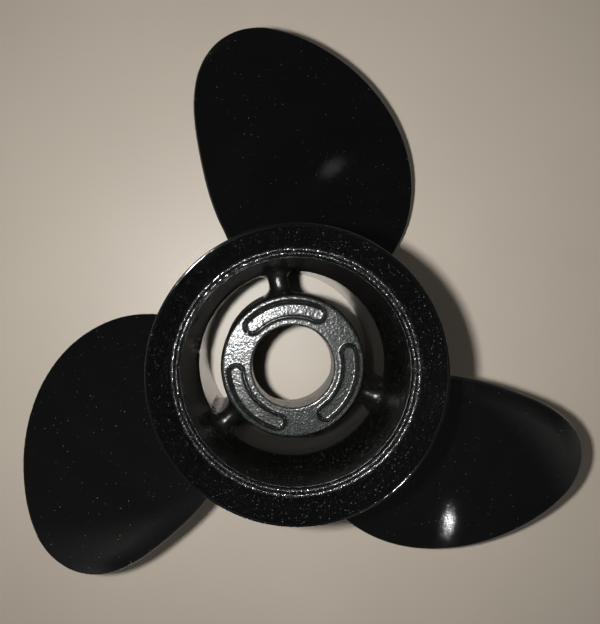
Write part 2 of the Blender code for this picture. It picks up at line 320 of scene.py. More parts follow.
class Tree:
    """A node tree that is being wired up."""

    def __init__(self, tree: bpy.types.NodeTree) -> None:
        """Keep the tree and start its first column."""
        self.tree = tree
        self.column = 0

    def add(self, kind: str, settings: dict | None = None, **inputs: object) -> bpy.types.Node:
        """Add a node.

        Args:
            kind: the node's type.
            settings: its properties.
            inputs: its inputs by name, with _ for a space, each a value or an output to link.

        Returns:
            The node.
        """
        node = self.tree.nodes.new(kind)
        node.location = (self.column * 180.0, 0.0)
        self.column += 1
        for name, value in (settings or {}).items():
            setattr(node, name, value)
        for name, value in inputs.items():
            self.put(node.inputs[name.replace("_", " ")], value)
        return node

    def put(self, socket: bpy.types.NodeSocket, value: object) -> None:
        """Link an output to a socket, or set the socket's value."""
        if isinstance(value, bpy.types.NodeSocket):
            self.tree.links.new(value, socket)
        else:
            socket.default_value = value

    def math(self, operation: str, *values: object, held: bool = False) -> bpy.types.NodeSocket:
        """Add a Math node for up to three values and give its result."""
        node = self.add("ShaderNodeMath", {"operation": operation, "use_clamp": held})
        for socket, value in zip(node.inputs, values):
            self.put(socket, value)
        return node.outputs[0]

    def scaled(self, place: object, scale: object) -> bpy.types.NodeSocket:
        """Scale a vector."""
        node = self.add("ShaderNodeVectorMath", {"operation": "SCALE"})
        self.put(node.inputs[0], place)
        self.put(node.inputs["Scale"], scale)
        return node.outputs[0]

    def noise(self, place: object, detail: float = 2.0, roughness: float = 0.5) -> bpy.types.NodeSocket:
        """Add a noise of scale 1 at a place and give its value."""
        node = self.add("ShaderNodeTexNoise", Vector=place, Scale=1.0, Detail=detail, Roughness=roughness)
        return node.outputs["Fac"]

    def ramp(self, value: object, low: float, high: float) -> bpy.types.NodeSocket:
        """Turn a value into a smooth step from 0 at low to 1 at high."""
        settings = {"interpolation_type": "SMOOTHSTEP"}
        node = self.add("ShaderNodeMapRange", settings, Value=value, From_Min=low, From_Max=high)
        return node.outputs["Result"]

    def parts(self, place: object) -> bpy.types.NodeOutputs:
        """Split a vector into x, y and z."""
        node = self.add("ShaderNodeSeparateXYZ")
        self.put(node.inputs[0], place)
        return node.outputs

    def blend(self, share: object, under: object, over: object, kind: str = "MIX") -> bpy.types.NodeSocket:
        """Lay one colour over another and give the result."""
        node = self.add("ShaderNodeMix", {"data_type": "RGBA", "blend_type": kind})
        self.put(node.inputs["Factor"], share)
        self.put(node.inputs[6], under)
        self.put(node.inputs[7], over)
        return node.outputs[2]


def effect(name: str, inputs: dict, outputs: list[str], wire: Callable) -> bpy.types.NodeTree:
    """Build a shader node group for an effect that several finishes use.

    Args:
        name: the group's name.
        inputs: its inputs' names, each with a value, or None for a vector.
        outputs: its outputs' names.
        wire: wires the group up, from its tree and its inputs' sockets, and gives its outputs.

    Returns:
        The group.
    """
    group = bpy.data.node_groups.new(name, "ShaderNodeTree")
    for label, value in inputs.items():
        kind = "NodeSocketVector" if value is None else "NodeSocketFloat"
        socket = group.interface.new_socket(label, in_out="INPUT", socket_type=kind)
        if value is not None:
            socket.default_value = value
    for label in outputs:
        group.interface.new_socket(label, in_out="OUTPUT", socket_type="NodeSocketFloat")
    tree = Tree(group)
    given = tree.add("NodeGroupInput").outputs
    results = wire(tree, given)
    taken = tree.add("NodeGroupOutput")
    for socket, value in zip(taken.inputs, results):
        tree.put(socket, value)
    return group


def wire_peel(tree: Tree, given: bpy.types.NodeInputs) -> list:
    """Orange peel: a long ripple with a shorter one on it, as a height."""
    scale = tree.math("DIVIDE", 1.0, given["Size"])
    long_wave = tree.noise(tree.scaled(given["Place"], scale), detail=1.0)
    fine = tree.math("MULTIPLY", scale, 2.7)
    short_wave = tree.noise(tree.scaled(given["Place"], fine), detail=0.0)
    mixed = tree.math("MULTIPLY_ADD", short_wave, 0.3, long_wave)
    return [tree.math("MULTIPLY", mixed, given["Depth"])]


def wire_grain(tree: Tree, given: bpy.types.NodeInputs) -> list:
    """Sand grain: a casting's skin under its paint, as a height, a mask of its pits and a mask of its crests,
    which take painted glints.
    """
    scale = tree.math("DIVIDE", 1.0, given["Size"])
    place = tree.scaled(given["Place"], scale)
    grains = tree.noise(place, detail=1.5, roughness=0.45)
    cells = tree.add("ShaderNodeTexVoronoi", {"feature": "SMOOTH_F1"}, Vector=place, Scale=0.8, Smoothness=0.6)
    mixed = tree.math("MULTIPLY_ADD", cells.outputs["Distance"], -0.35, grains)
    pits = tree.ramp(grains, 0.46, 0.34)
    # Mask of the grain crests, which the paints light up as painted glints.
    glint_mask = tree.ramp(grains, given["Tip Start"], tree.math("ADD", given["Tip Start"], 0.12))
    return [tree.math("MULTIPLY", mixed, given["Depth"]), pits, glint_mask]


def wire_turning(tree: Tree, given: bpy.types.NodeInputs) -> list:
    """Turning marks: fine rings round the axis, as a height and as bands of tone."""
    x, y, z = tree.parts(given["Place"])
    squares = tree.math("ADD", tree.math("MULTIPLY", x, x), tree.math("MULTIPLY", y, y))
    radius = tree.math("SQRT", squares)
    along = tree.math("DIVIDE", tree.math("ADD", radius, z), given["Pitch"])
    turn = tree.math("ARCTAN2", y, x)
    spot = tree.add("ShaderNodeCombineXYZ", X=along, Y=tree.math("MULTIPLY", turn, given["Chatter"]))
    rings = tree.noise(spot.outputs[0], detail=2.0)
    broad = tree.noise(tree.scaled(spot.outputs[0], 0.13), detail=1.0)
    return [tree.math("MULTIPLY", rings, given["Depth"]), broad]


def wire_specks(tree: Tree, given: bpy.types.NodeInputs) -> list:
    """Dust that has settled: small specks of uneven size and strength, as a mask."""
    scale = tree.math("DIVIDE", 1.0, given["Spacing"])
    place = tree.scaled(given["Place"], scale)
    cells = tree.add("ShaderNodeTexVoronoi", Vector=place, Scale=1.0)
    drawn = tree.add("ShaderNodeSeparateColor")
    tree.put(drawn.inputs[0], cells.outputs["Color"])
    chosen = tree.math("LESS_THAN", drawn.outputs[0], given["Share"])
    size = tree.math("MULTIPLY_ADD", drawn.outputs[1], 0.7, 0.3)
    reach = tree.math("MULTIPLY", tree.math("MULTIPLY", given["Size"], scale), size)
    inside = tree.math("LESS_THAN", cells.outputs["Distance"], reach)
    strength = tree.math("MULTIPLY", drawn.outputs[2], drawn.outputs[2])
    return [tree.math("MULTIPLY", tree.math("MULTIPLY", chosen, inside), strength)]


def wire_sparkle(tree: Tree, given: bpy.types.NodeInputs) -> list:
    """Grains drawn out round the axis, as left by a blunt tool, as a height."""
    x, y, z = tree.parts(given["Place"])
    squares = tree.math("ADD", tree.math("MULTIPLY", x, x), tree.math("MULTIPLY", y, y))
    turn = tree.math("MULTIPLY", tree.math("ARCTAN2", y, x), given["Count"])
    across = tree.math("DIVIDE", tree.math("SQRT", squares), given["Size"])
    along = tree.math("DIVIDE", z, given["Size"])
    spot = tree.add("ShaderNodeCombineXYZ", X=turn, Y=across, Z=along)
    grains = tree.noise(spot.outputs[0], detail=1.0, roughness=0.6)
    return [tree.math("MULTIPLY", grains, given["Depth"])]


class Effects:
    """The effects that the finishes share, each a node group built once."""

    def __init__(self) -> None:
        """Build the groups."""
        peel = {"Place": None, "Size": 0.0025, "Depth": 0.00001}
        self.peel = effect("orange_peel", peel, ["Height"], wire_peel)
        grain = {"Place": None, "Size": 0.00045, "Depth": 0.00006, "Tip Start": 0.5}
        self.grain = effect("cast_grain", grain, ["Height", "Pits", "Glints"], wire_grain)
        marks = {"Place": None, "Pitch": 0.0006, "Depth": 0.00001, "Chatter": 1.0}
        self.turning = effect("turning_marks", marks, ["Height", "Bands"], wire_turning)
        sparkle = {"Place": None, "Size": 0.0003, "Depth": 0.00001, "Count": 60.0}
        self.sparkle = effect("tool_sparkle", sparkle, ["Height"], wire_sparkle)
        dust = {"Place": None, "Spacing": 0.003, "Size": 0.0003, "Share": 0.3}
        self.specks = effect("dust_specks", dust, ["Mask"], wire_specks)


@dataclass(frozen=True)
class Paint:
    """Black paint on cast aluminium, from gloss over a ground face to thin over raw casting."""

    finish: Finish
    colour: tuple[float, float, float]
    roughness: float
    ior: float = 1.5
    roughness_spread: float = 0.02
    peel_size: float = 0.0024
    peel_depth: float = 0.000010
    grain_size: float = 0.0007
    grain_depth: float = 0.0
    mark_pitch: float = 0.0011
    mark_depth: float = 0.0
    mark_chatter: float = 2.0
    sparkle_size: float = 0.0003
    sparkle_depth: float = 0.0
    sparkle_count: float = 60.0
    # Painted shade: the grain's pits are painted darker by this share.
    painted_pit_shade: float = 0.0
    pit_roughness: float = 0.0
    # Painted glints: grain crests above the start share are painted in this lighter colour, which stands in
    # for sparkle of light.
    glint_start: float = 0.51
    glint_colour: tuple[float, float, float] = (0.0, 0.0, 0.0)
    # Painted reflection: a pale colour that stands in for the floor's reflection, full at the forward end and
    # gone by the height given next.
    reflection_colour: tuple[float, float, float] = (0.0, 0.0, 0.0)
    reflection_none: float = 0.130
    dust_share: float = 0.8
    dust_size: float = 0.00018
    dust_spacing: float = 0.0015
    dust_colour: tuple[float, float, float] = (0.22, 0.21, 0.19)
    dust_roughness: float = 0.45
    dust_rise: float = 0.00003
    cloud_scale: float = 38.0

    def build(self, effects: Effects) -> bpy.types.Material:
        """Make the material.

        Args:
            effects: the shared effects.

        Returns:
            The material, named after its finish.
        """
        material = bpy.data.materials.new(self.finish.value)
        material.use_nodes = True
        tree = Tree(material.node_tree)
        shader = material.node_tree.nodes["Principled BSDF"]
        place = tree.add("ShaderNodeTexCoord").outputs["Object"]

        marks = self.use(
            tree,
            effects.turning,
            Place=place,
            Pitch=self.mark_pitch,
            Depth=self.mark_depth,
            Chatter=self.mark_chatter,
        )
        specks = self.use(
            tree,
            effects.specks,
            Place=place,
            Spacing=self.dust_spacing,
            Size=self.dust_size,
            Share=self.dust_share,
        ).outputs["Mask"]
        height, grain = self.relief(tree, effects, place, marks)
        height = tree.math("MULTIPLY_ADD", specks, self.dust_rise, height)
        bump = tree.add("ShaderNodeBump", Strength=1.0, Distance=1.0, Height=height)

        cloud = tree.noise(tree.scaled(place, self.cloud_scale), detail=3.0)
        tone = tree.math("MULTIPLY_ADD", marks.outputs["Bands"], 0.8, 0.6)
        tone = tree.math("MULTIPLY", tone, tree.math("MULTIPLY_ADD", cloud, 0.8, 0.6))
        # Painted shade: the grain's pits are painted darker.
        if self.painted_pit_shade:
            light = tree.math("MULTIPLY_ADD", grain.outputs["Pits"], -self.painted_pit_shade, 1.0)
            tone = tree.math("MULTIPLY", tone, light)
        shade = tree.add("ShaderNodeCombineColor", Red=tone, Green=tone, Blue=tone).outputs[0]
        coat = tree.blend(1.0, (*self.colour, 1.0), shade, "MULTIPLY")
        # Painted glints: the grain crests are painted in a lighter colour.
        if any(self.glint_colour):
            coat = tree.blend(grain.outputs["Glints"], coat, (*self.glint_colour, 1.0))
        # Painted reflection of the pale floor, strongest at the forward end.
        if any(self.reflection_colour):
            coat = self.lay_reflection(tree, place, cloud, coat)
        dusty = tree.blend(specks, coat, (*self.dust_colour, 1.0))

        low = self.roughness - self.roughness_spread / 2.0
        spread = tree.math("MULTIPLY_ADD", cloud, self.roughness_spread, low)
        if self.pit_roughness:
            spread = tree.math("MULTIPLY_ADD", grain.outputs["Pits"], self.pit_roughness, spread)
        rough = tree.math("MULTIPLY_ADD", specks, self.dust_roughness, spread, held=True)
        tree.put(shader.inputs["Base Color"], dusty)
        tree.put(shader.inputs["Roughness"], rough)
        tree.put(shader.inputs["Normal"], bump.outputs[0])
        shader.inputs["Metallic"].default_value = 0.0
        shader.inputs["IOR"].default_value = self.ior
        return material

    def lay_reflection(self, tree: Tree, place: object, cloud: object, coat: object) -> bpy.types.NodeSocket:
        """Lay a pale colour over the coat as a painted reflection of the pale floor, which fades out towards
        the aft end.

        Args:
            tree: the material's tree.
            place: the place on the surface.
            cloud: a broad noise that makes the painted reflection uneven.
            coat: the coat's colour.

        Returns:
            The colour with the painted reflection on it.
        """
        height = tree.parts(place)[2]
        share = tree.ramp(height, self.reflection_none - BALANCE_HEIGHT, -BALANCE_HEIGHT)
        uneven = tree.math("MULTIPLY", share, tree.math("MULTIPLY_ADD", cloud, 0.8, 0.6), held=True)
        return tree.blend(uneven, coat, (*self.reflection_colour, 1.0))

    def relief(self, tree: Tree, effects: Effects, place: object, marks: bpy.types.Node) -> tuple:
        """Add up the surface's relief.

        Args:
            tree: the material's tree.
            effects: the shared effects.
            place: the place on the surface.
            marks: the turning marks' node.

        Returns:
            The height and the grain's node.
        """
        peel = self.use(tree, effects.peel, Place=place, Size=self.peel_size, Depth=self.peel_depth)
        height = peel.outputs["Height"]
        grain = None
        if self.grain_depth:
            grain = self.use(
                tree,
                effects.grain,
                Place=place,
                Size=self.grain_size,
                Depth=self.grain_depth,
                Tip_Start=self.glint_start,
            )
            height = tree.math("ADD", height, grain.outputs["Height"])
        if self.mark_depth:
            height = tree.math("ADD", height, marks.outputs["Height"])
        if self.sparkle_depth:
            sparkle = self.use(
                tree,
                effects.sparkle,
                Place=place,
                Size=self.sparkle_size,
                Depth=self.sparkle_depth,
                Count=self.sparkle_count,
            )
            height = tree.math("ADD", height, sparkle.outputs["Height"])
        return height, grain

    @staticmethod
    def use(tree: Tree, group: bpy.types.NodeTree, **inputs: object) -> bpy.types.Node:
        """Place an effect in the material with its own values."""
        return tree.add("ShaderNodeGroup", {"node_tree": group}, **inputs)


PAINTS = (
    Paint(
        finish=Finish.BLADE,
        colour=(0.0020, 0.0020, 0.0021),
        roughness=0.060,
        peel_size=0.0013,
        peel_depth=0.000005,
        grain_size=0.00060,
        grain_depth=0.000013,
    ),
    Paint(
        finish=Finish.FLARE,
        colour=(0.0016, 0.0016, 0.0017),
        roughness=0.28,
        peel_size=0.0011,
        peel_depth=0.000020,
        grain_size=0.00042,
        grain_depth=0.000160,
        dust_colour=(0.13, 0.125, 0.115),
        dust_size=0.00024,
        dust_spacing=0.0009,
        dust_share=0.9,
    ),
    Paint(
        finish=Finish.BAND,
        colour=(0.0024, 0.0024, 0.0024),
        roughness=0.15,
        peel_depth=0.000006,
        grain_size=0.00042,
        grain_depth=0.000030,
        # Painted shade in the band's grain pits.
        painted_pit_shade=0.9,
        pit_roughness=0.20,
        # Painted glints on the band's grain crests.
        glint_start=0.57,
        glint_colour=(0.09, 0.09, 0.088),
        sparkle_size=0.00045,
        sparkle_depth=0.000060,
        sparkle_count=60.0,
    ),
    Paint(
        finish=Finish.FACE,
        colour=(0.0050, 0.0056, 0.0052),
        roughness=0.22,
        roughness_spread=0.06,
        peel_size=0.0030,
        peel_depth=0.000006,
        grain_size=0.00034,
        grain_depth=0.000032,
        # Painted shade in the face's grain pits.
        painted_pit_shade=0.9,
        pit_roughness=0.28,
        # Painted glints on the face's grain crests.
        glint_colour=(0.052, 0.061, 0.052),
        dust_share=0.4,
    ),
    Paint(
        finish=Finish.CORE,
        colour=(0.0030, 0.0030, 0.0025),
        roughness=0.28,
        roughness_spread=0.08,
        peel_size=0.0022,
        peel_depth=0.000016,
        grain_size=0.00050,
        grain_depth=0.000080,
        # Painted glints on the core wall's grain crests.
        glint_colour=(0.0090, 0.0086, 0.0075),
        dust_size=0.00024,
        dust_spacing=0.0009,
        mark_pitch=0.0011,
        mark_depth=0.000004,
    ),
    Paint(
        finish=Finish.DULL,
        colour=(0.0022, 0.0022, 0.0019),
        roughness=0.46,
        ior=1.32,
        roughness_spread=0.08,
        peel_size=0.0022,
        grain_size=0.00055,
        grain_depth=0.000045,
    ),
    Paint(
        finish=Finish.FILM,
        colour=(0.0030, 0.0030, 0.0025),
        roughness=0.12,
        peel_size=0.0018,
        peel_depth=0.000012,
        # Painted reflection of the floor on the forward bore.
        reflection_colour=(0.095, 0.092, 0.080),
    ),
)


@dataclass
class Barrel:
    """The outer hub, a tapered tube with a small ledge at its throat."""

    forward_radius: float = 0.0435
    waist_radius: float = 0.0442
    forward_bore_radius: float = 0.0389
    edge_round: float = 0.0008
    bore_edge_round: float = 0.0006
    throat_radius: float = 0.0375
    throat_ledge: float = 0.0005
    throat_height: float = 0.0645
    lip_width: float = 0.00034
    lip_rise: float = 0.00030
    seat_height: float = 0.103
    seat_bore_radius: float = 0.0404
    seat_edge_round: float = 0.00016
    flare_below_seat: float = 0.017
    rim_height: float = 0.118
    rim_radius: float = 0.0506
    throat_wave: tuple[float, float] = (0.0016, 0.00005)
    seat_grain: tuple[float, float] = (0.0005, 0.00012)
    nicks: Marks = (
        (172.0, 0.9, 0.00045),
        (141.0, 0.5, 0.00030),
        (118.0, 0.4, 0.00025),
        (306.0, 0.6, 0.00030),
    )
    coats: tuple[Finish, ...] = (Finish.CORE, Finish.BLADE, Finish.FILM)
    steps: int = 480

    def outer_radius(self, height: Rows | float) -> Rows | float:
        """The outer wall, from the forward end to where the flare starts."""
        waist = (self.waist_radius, self.seat_height - self.flare_below_seat)
        return between(height, (self.forward_radius, 0.0), waist)

    def flare_radius(self, height: Rows | float) -> Rows | float:
        """The outer wall aft of the waist, a curve that ends at the rim."""
        start = self.seat_height - self.flare_below_seat
        share = (height - start) / (self.rim_height - start)
        return self.waist_radius + (self.rim_radius - self.waist_radius) * share**2

    def bore_radius(self, height: Rows | float) -> Rows | float:
        """The inner wall, which narrows to the throat from both ends."""
        throat = (self.throat_radius, self.throat_height)
        forward = between(height, (self.forward_bore_radius, 0.0), throat)
        aft = between(height, throat, (self.seat_bore_radius, self.seat_height))
        return np.where(np.asarray(height) < self.throat_height, forward, aft)

    def profile(self) -> Points:
        """The closed profile, down the outside and up the bore."""
        start = self.seat_height - self.flare_below_seat
        heights = np.linspace(self.seat_height, start, 12)
        points = [(float(self.flare_radius(h)), float(h)) for h in heights]
        edge = self.edge_round
        points += line((self.outer_radius(start - 0.001), start - 0.001), (self.forward_radius, edge), 20)
        points += arc((self.forward_radius - edge, edge), edge, 0.0, -90.0, 6)
        edge = self.bore_edge_round
        points += arc((self.forward_bore_radius + edge, edge), edge, -90.0, -180.0, 5)
        ledge = (self.throat_radius + self.throat_ledge, self.throat_height - self.throat_ledge)
        points += line((self.forward_bore_radius, edge + 0.001), ledge, 16)
        points += [ledge, (ledge[0] - 0.0001, ledge[1] + 0.00005)]
        points += arc((self.throat_radius + 0.00012, self.throat_height), 0.00012, -110.0, -180.0, 3)
        edge = self.seat_edge_round
        for turn in np.radians(np.linspace(72.0, 12.0, 5)):
            reach = self.lip_width * (1.0 - math.sin(turn))
            points.append((self.throat_radius + reach, self.throat_height + self.lip_rise * math.cos(turn)))
        above = (self.throat_radius + self.lip_width, self.throat_height + self.lip_rise + 0.00012)
        points += line(above, (self.seat_bore_radius, self.seat_height - edge), 24)
        points += arc((self.seat_bore_radius + edge, self.seat_height - edge), edge, 180.0, 90.0, 5)
        return points

    def build(self, finishes: Finishes) -> bpy.types.Object:
        """Turn the tube, nick its throat and paint it.

        Args:
            finishes: the paints by their finish.

        Returns:
            The piece.
        """
        piece = turned("barrel_casting", self.profile(), self.steps)
        points = read_points(piece)
        radius, turn, height = polar(points)
        at_throat = bell(height - self.throat_height, 0.0004) * (radius < self.throat_radius + 0.0008)
        worn = depth_of(self.nicks, turn) + roughen(points, *self.throat_wave, 3.0)
        at_seat = ease((height - self.seat_height + 0.0008) / 0.0004)
        at_seat *= radius < self.seat_bore_radius + 0.0012
        tooled = drawn_grain(points, *self.seat_grain, 7.0, 2.0)
        push_out(points, radius, at_throat * worn + at_seat * tooled)
        write_points(piece, points)
        smooth(piece)
        lay_paints(piece, finishes, self.coats)
        self.paint_walls(piece)
        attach(piece, "root")
        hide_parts("barrel")
        return piece

    def paint_walls(self, piece: bpy.types.Object) -> None:
        """Paint the outer wall, the forward end and the throat's lip, and give the bore below it a painted
        reflection of the floor.
        """
        middle = (self.forward_radius + self.forward_bore_radius) / 2.0
        low = self.throat_height - self.throat_ledge - BALANCE_HEIGHT
        high = self.throat_height + self.lip_rise + 0.0001 - BALANCE_HEIGHT
        for face in piece.data.polygons:
            outside = math.hypot(face.center.x, face.center.y) > middle
            if outside or face.normal.z < -0.5 or low < face.center.z < high:
                face.material_index = self.coats.index(Finish.BLADE)
            # The bore below the ledge takes the painted reflection of the floor.
            elif face.center.z < low:
                face.material_index = self.coats.index(Finish.FILM)


@dataclass
class FlaredRing:
    """The flared aft end: a tooled band and a smooth cone inside, and a thin rim on top."""

    barrel: Barrel
    step: float = 0.0003
    band_length: float = 0.003
    band_flare: float = 0.0029
    rim_wall: float = 0.0012
    rim_outer_round: float = 0.0005
    rim_inner_round: float = 0.0005
    sunk: float = 0.0002
    tool_grain: float = 0.00046
    tool_depth: float = 0.00012
    tool_stretch: float = 1.2
    cone_hollow: float = 0.00012
    terraces: tuple[tuple[float, float], ...] = (
        (0.00000, -0.00002),
        (0.00016, -0.00007),
        (0.00034, -0.00007),
        (0.00046, -0.00004),
        (0.00056, 0.00002),
        (0.00064, 0.00016),
        (0.00078, 0.00048),
        (0.00088, 0.00062),
        (0.00100, 0.00066),
        (0.00112, 0.00066),
        (0.00124, 0.00070),
        (0.00138, 0.00088),
        (0.00154, 0.00130),
        (0.00172, 0.00172),
        (0.00188, 0.00212),
        (0.00198, 0.00227),
        (0.00210, 0.00234),
        (0.00228, 0.00235),
        (0.00246, 0.00237),
        (0.00260, 0.00251),
        (0.00278, 0.00280),
    )
    dents: Marks = (
        (304.5, 0.5, 0.00016),
        (309.0, 0.3, 0.00014),
        (321.0, 0.6, 0.00016),
        (38.0, 0.5, 0.00010),
    )
    coats: tuple[Finish, ...] = (Finish.BLADE, Finish.FLARE, Finish.BAND)
    steps: int = 1200

    def band(self) -> Points:
        """The tooled band: three worn terraces that climb from the step to the cone."""
        foot = self.barrel.seat_bore_radius + self.step
        corners = (*self.terraces, (self.band_flare, self.band_length))
        return [(foot + r, self.barrel.seat_height + h) for r, h in corners]

    def profile(self) -> Points:
        """The closed profile, down the outside and up the inside."""
        barrel = self.barrel
        top = barrel.rim_height
        outer = self.rim_outer_round
        edge = float(barrel.flare_radius(top - outer))
        points = arc((edge - outer, top - outer), outer, 88.0, 4.0, 7)
        heights = np.linspace(top - outer, barrel.seat_height, 10)
        points += [(float(barrel.flare_radius(h)), float(h)) for h in heights]
        foot = barrel.seat_bore_radius + self.step
        sole = barrel.seat_height - self.sunk
        points += [(float(barrel.flare_radius(barrel.seat_height)) - 0.0004, sole), (foot + 0.0004, sole)]
        points += self.band()
        inner = self.rim_inner_round
        low = (foot + self.band_flare, barrel.seat_height + self.band_length)
        high = (barrel.rim_radius - self.rim_wall, top - inner)
        points += self.cone(low, high)
        points += arc((high[0] + inner, high[1]), inner, 168.0, 100.0, 6)
        return points

    def cone(self, low: tuple, high: tuple) -> Points:
        """The smooth cone, slightly hollow between the band and the rim."""
        points = []
        for share in np.linspace(0.03, 1.0, 18):
            radius = low[0] + (high[0] - low[0]) * share
            height = low[1] + (high[1] - low[1]) * share
            points.append((radius + self.cone_hollow * math.sin(math.pi * share), height))
        return points

    def build(self, finishes: Finishes) -> bpy.types.Object:
        """Turn the ring, dent its rim and paint it.

        Args:
            finishes: the paints by their finish.

        Returns:
            The piece.
        """
        piece = turned("flared_ring", self.profile(), self.steps)
        points = read_points(piece)
        radius, turn, height = polar(points)
        top = self.barrel.rim_height
        on_rim = ease((height - top + 0.0008) / 0.0008) * (radius < self.barrel.rim_radius + 0.001)
        points[:, 2] -= on_rim * depth_of(self.dents, turn)
        low = self.barrel.seat_height
        high = low + self.band_length
        inside = radius < self.barrel.seat_bore_radius + self.step + self.band_flare + 0.0002
        on_band = ease((height - low) / 0.0001) * ease((high + 0.0002 - height) / 0.0002) * inside
        wave = drawn_grain(points, self.tool_grain, self.tool_depth, 23.0, self.tool_stretch) * on_band
        push_out(points, radius, -0.7 * wave)
        points[:, 2] += 0.7 * wave
        write_points(piece, points)
        smooth(piece, 40.0)
        lay_paints(piece, finishes, self.coats)
        self.paint_inside(piece)
        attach(piece, "root")
        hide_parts("diffuser_ring")
        return piece

    def paint_inside(self, piece: bpy.types.Object) -> None:
        """Give the cone its grainy paint and the tooled band its grainy paint with painted glints on the grain
        crests.
        """
        band_top = self.barrel.seat_height + self.band_length + 0.0001
        cone_top = self.barrel.rim_height - 0.0007
        for face in piece.data.polygons:
            height = face.center.z + BALANCE_HEIGHT
            inside = math.hypot(face.center.x, face.center.y) < self.barrel.flare_radius(height) - 0.0008
            if inside and height < cone_top:
                coat = Finish.BAND if height < band_top else Finish.FLARE
                face.material_index = self.coats.index(coat)


@dataclass
class InnerHub:
    """The sleeve round the shaft's bore, with three grooved pads on its rough aft face."""

    face_height: float = 0.075
    face_radius: float = 0.0283
    forward_height: float = 0.015
    forward_radius: float = 0.0303
    edge_round: float = 0.0016
    forward_round: float = 0.0010
    bore_radius: float = 0.0162
    bore_length: float = 0.016
    bore_chamfer: float = 0.0005
    bore_ease: float = 0.0009
    cavity_radius: float = 0.0216
    pad_middle_radius: float = 0.0224
    pad_width: float = 0.0072
    pad_span: float = 69.5
    pad_angle: float = 100.0
    groove_width: float = 0.0015
    groove_depth: float = 0.0011
    groove_lip: float = 0.00010
    grain_size: float = 0.0005
    grain_depth: float = 0.00006
    face_step: float = 0.00018
    bore_wave: tuple[float, float] = (0.0007, 0.00016)
    rim_wave: tuple[float, float] = (0.0018, 0.00010)
    flash: Marks = (
        (279.5, 0.45, 0.0010),
        (282.0, 0.60, 0.0006),
        (285.5, 0.35, 0.0012),
        (288.5, 0.80, 0.0005),
        (231.0, 0.70, 0.0004),
    )
    nicks: Marks = (
        (124.0, 0.9, 0.00030),
        (131.0, 1.1, 0.00042),
        (138.5, 0.8, 0.00034),
        (144.0, 1.2, 0.00046),
        (152.0, 0.9, 0.00036),
        (159.0, 1.0, 0.00030),
    )
    coats: tuple[Finish, ...] = (Finish.FACE, Finish.CORE, Finish.DULL)
    steps: int = 640

    def outer_radius(self, height: Rows | float) -> Rows | float:
        """The outer wall, which drafts outwards towards the forward end."""
        forward = (self.forward_radius, self.forward_height)
        return between(height, forward, (self.face_radius, self.face_height))

    def profile(self) -> Points:
        """The closed profile, over the aft face, down the bore and up the outside."""
        top = self.face_height
        rim = self.face_radius - self.edge_round
        eased = self.bore_radius + self.bore_ease
        face_points = round((rim - eased) / self.face_step)
        points = arc((rim, top - self.edge_round), self.edge_round, 2.0, 88.0, 12)
        points += line((rim, top), (eased, top), face_points)
        for turn in np.radians(np.linspace(90.0, 172.0, 10)):
            reach = self.bore_ease * (1.0 + math.cos(turn))
            points.append((self.bore_radius + reach, top - self.bore_chamfer * (1.0 - math.sin(turn))))
        shoulder = top - self.bore_length
        points += line((self.bore_radius, top - self.bore_chamfer), (self.bore_radius, shoulder + 0.0003), 8)
        points += arc((self.bore_radius + 0.0003, shoulder + 0.0003), 0.0003, 180.0, 270.0, 3)
        points += line((self.bore_radius + 0.0006, shoulder), (self.cavity_radius, shoulder), 3)
        low = self.forward_height
        points += line((self.cavity_radius, shoulder), (self.cavity_radius, low + 0.0006), 5)
        points += arc((self.cavity_radius + 0.0006, low + 0.0006), 0.0006, 180.0, 270.0, 4)
        edge = self.forward_round
        points += arc((self.forward_radius - edge, low + edge), edge, -90.0, 0.0, 5)
        high = top - self.edge_round
        points += line((self.outer_radius(low + 0.002), low + 0.002), (self.outer_radius(high), high), 9)
        return points

    def groove_offset(self, radius: Rows, turn: Rows) -> Rows:
        """How far each place on the face is from the middle of the nearest pad's groove."""
        best = np.full(len(radius), 1.0)
        half_span = math.radians(self.pad_span / 2.0)
        for index in range(BLADE_COUNT):
            middle = math.radians(self.pad_angle + 360.0 * index / BLADE_COUNT)
            off = (turn - middle + math.pi) % math.tau - math.pi
            held = np.clip(off, -half_span, half_span)
            x = radius * np.cos(off - held) - self.pad_middle_radius
            y = radius * np.sin(off - held)
            centre = (self.pad_width - self.groove_width) / 2.0
            best = np.minimum(best, np.abs(np.hypot(x, y) - centre))
        return best

    def build(self, finishes: Finishes) -> bpy.types.Object:
        """Turn the sleeve, press the pads' grooves into its face and paint it.

        Args:
            finishes: the paints by their finish.

        Returns:
            The piece.
        """
        piece = turned("hub_casting", self.profile(), self.steps)
        points = read_points(piece)
        radius, turn, height = polar(points)
        chamfer = self.bore_radius + self.bore_chamfer
        on_face = (height > self.face_height - 0.0010) & (radius > chamfer - 0.0001)
        offset = self.groove_offset(radius, np.radians(turn))
        half = self.groove_width / 2.0
        valley = self.groove_depth * clamp(1.0 - offset / half) ** 0.7
        lip = self.groove_lip * bell(offset - half - 0.00014, 0.00016)
        inner_lip = ease((radius - chamfer) / 0.0004)
        grain = roughen(points, self.grain_size, self.grain_depth, 17.0)
        points[:, 2] += on_face * inner_lip * (lip - valley + grain)
        edge = bell(radius - chamfer, 0.0006) * (height > self.face_height - 0.001)
        wave = (roughen(points, *self.bore_wave, 5.0) + depth_of(self.nicks, turn)) * edge
        outer = bell(height - self.face_height + 0.0004, 0.0008) * (radius > self.face_radius - 0.0016)
        wave += roughen(points, *self.rim_wave, 9.0) * outer
        seam = bell(height - self.face_height + 0.0013, 0.0006) * (radius > self.face_radius - 0.0004)
        wave += depth_of(self.flash, turn) * seam
        push_out(points, radius, wave)
        write_points(piece, points)
        smooth(piece)
        lay_paints(piece, finishes, self.coats)
        self.paint_walls(piece)
        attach(piece, "root")
        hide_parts("inner_hub")
        return piece

